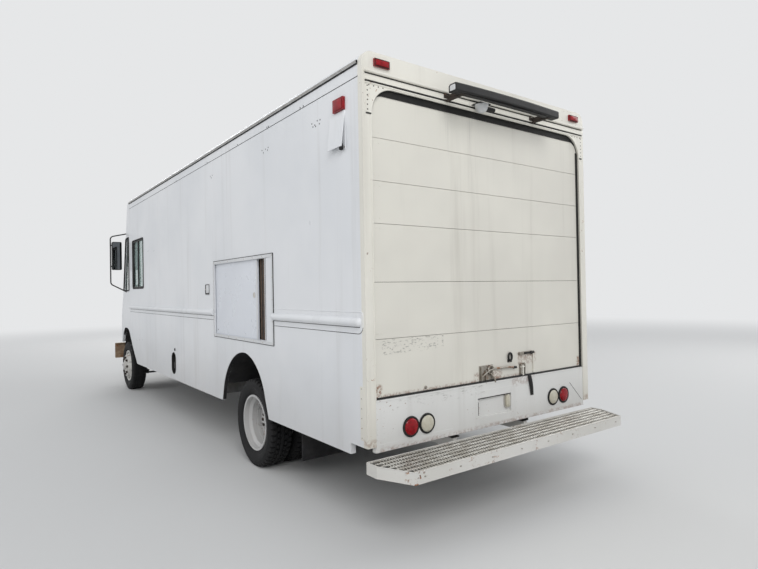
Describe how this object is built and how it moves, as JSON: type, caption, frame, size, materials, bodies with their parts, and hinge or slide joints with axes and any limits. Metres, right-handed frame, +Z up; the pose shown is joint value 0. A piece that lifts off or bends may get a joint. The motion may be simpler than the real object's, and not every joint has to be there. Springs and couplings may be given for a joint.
{
  "type": "step van",
  "caption": "Walk-in step van with a flat-sided white box body, roll-up rear door, side hatch, rear step and twin rear wheels.",
  "frame": {"origin": "on the ground under the middle of the vehicle's box", "axes": "+X to the driver's side, +Y to the rear, +Z up"},
  "size_m": [2.88, 8.528, 3.1918],
  "materials": {
    "body_white": "semi-gloss white paint, weathered",
    "trim_white": "painted aluminium extrusion",
    "post_cream": "cream-white gloss paint, yellowed",
    "sill_white": "white paint, scuffed",
    "door_cream": "satin cream-white panels, stained",
    "panel_white": "smooth white sheet",
    "step_white": "white paint with rust at the edges",
    "tread_aluminium": "bare worn grip plate",
    "floor_aluminium": "worn floor plate",
    "chassis_black": "black chassis paint, dusty",
    "underbody": "dark undercoating",
    "bumper_steel": "rusty brown steel channel",
    "bar_black": "black powder coat, worn",
    "latch_steel": "zinc plated, rusty",
    "rubber": "matt black rubber",
    "red_lens": "red lens",
    "clear_lens": "clear fluted lens",
    "amber_lens": "amber lens",
    "grille_grey": "dark grey moulded grille",
    "glass": "lightly tinted glass",
    "mirror_black": "black mirror housing and tube",
    "dash_grey": "dark grey moulded plastic",
    "seat_vinyl": "black vinyl",
    "wheel_plastic": "black moulded plastic",
    "engine_iron": "oily cast iron",
    "tank_aluminium": "dull aluminium",
    "exhaust_steel": "heat-stained steel",
    "rim_white": "white painted steel wheel, dirty",
    "rim_grey": "pale grey painted steel wheel, dirty",
    "tyre": "black tyre rubber, dusty"
  },
  "bodies": {
    "root": {"frame_rails": "chassis_black", "front_bumper": "bumper_steel", "wheel_houses": "underbody", "cargo_floor": "floor_aluminium", "side_wall_left": "body_white", "side_wall_right": "body_white", "roof": "body_white", "hatch_frame": "trim_white", "belt_mouldings": "body_white", "rear_frame": "post_cream", "rear_sill": "sill_white", "lamp_grommets": "rubber", "red_lamps": "red_lens", "rear_door": "door_cream", "door_latch": "latch_steel", "rear_step": "step_white", "step_tread": "tread_aluminium", "visor_bar": "bar_black", "camera_hood": "body_white", "nose_shell": "body_white", "grille": "grille_grey", "clear_lamps": "clear_lens", "amber_lamps": "amber_lens", "cab_glass": "glass", "mirrors": "mirror_black", "dash_and_cover": "dash_grey", "seat_base": "chassis_black", "driver_seat": "seat_vinyl", "engine_block": "engine_iron", "leaf_springs": "chassis_black", "front_axle": "chassis_black", "rear_axle": "chassis_black", "fuel_tank": "tank_aluminium", "exhaust": "exhaust_steel"},
    "curb_door": {"curb_door": "body_white", "curb_door_glass": "glass"},
    "hatch_panel": {"hatch_panel": "panel_white"},
    "hood": {"hood": "body_white"},
    "steering_wheel": {"steering_wheel": "wheel_plastic"},
    "knuckle_left": {"knuckle_left": "chassis_black"},
    "knuckle_right": {"knuckle_right": "chassis_black"},
    "tie_rod": {"tie_rod": "chassis_black"},
    "front_wheel_left": {"front_rim_left": "rim_white", "front_tyre_left": "tyre"},
    "front_wheel_right": {"front_rim_right": "rim_white", "front_tyre_right": "tyre"},
    "rear_wheels_left": {"rear_rims_left": "rim_grey", "rear_tyres_left": "tyre"},
    "rear_wheels_right": {"rear_rims_right": "rim_grey", "rear_tyres_right": "tyre"}
  },
  "joints": [
    {"name": "steer_left", "type": "hinge", "parent": "root", "child": "knuckle_left", "pos_m": [0.9, -3.334, 0.405], "axis": [0, 0, 1], "range_deg": [-35, 35]},
    {"name": "steer_right", "type": "hinge", "parent": "root", "child": "knuckle_right", "pos_m": [-0.9, -3.334, 0.405], "axis": [0, 0, 1], "range_deg": [-35, 35]},
    {"name": "tie_rod_pivot", "type": "hinge", "parent": "knuckle_left", "child": "tie_rod", "pos_m": [0.9, -3.134, 0.3], "axis": [0, 0, 1], "range_deg": [-35.5, 35.5]},
    {"name": "steering_wheel_turn", "type": "hinge", "parent": "root", "child": "steering_wheel", "pos_m": [0.64, -3.48543, 1.44596], "axis": [0, 0.6428, 0.766], "range_deg": [-570, 570]},
    {"name": "front_wheel_left_spin", "type": "hinge", "parent": "knuckle_left", "child": "front_wheel_left", "pos_m": [0, -3.334, 0.405], "axis": [1, 0, 0], "continuous": true},
    {"name": "front_wheel_right_spin", "type": "hinge", "parent": "knuckle_right", "child": "front_wheel_right", "pos_m": [0, -3.334, 0.405], "axis": [1, 0, 0], "continuous": true},
    {"name": "rear_wheels_left_spin", "type": "hinge", "parent": "root", "child": "rear_wheels_left", "pos_m": [0, 1.949, 0.405], "axis": [1, 0, 0], "continuous": true},
    {"name": "rear_wheels_right_spin", "type": "hinge", "parent": "root", "child": "rear_wheels_right", "pos_m": [0, 1.949, 0.405], "axis": [1, 0, 0], "continuous": true},
    {"name": "curb_door_slide", "type": "slide", "parent": "root", "child": "curb_door", "axis": [0, 1, 0], "range_m": [0, 0.73]},
    {"name": "hatch_slide", "type": "slide", "parent": "root", "child": "hatch_panel", "axis": [0, -1, 0], "range_m": [-0.21, 0.98]},
    {"name": "hood_hinge", "type": "hinge", "parent": "root", "child": "hood", "pos_m": [0, -3.98436, 1.47151], "axis": [-1, 0, 0], "range_deg": [0, 75]}
  ],
  "couplings": [
    {"joint": "steer_right", "follows": "steer_left", "ratio": 1},
    {"joint": "tie_rod_pivot", "follows": "steer_left", "ratio": -1},
    {"joint": "steering_wheel_turn", "follows": "steer_left", "ratio": 16}
  ]
}
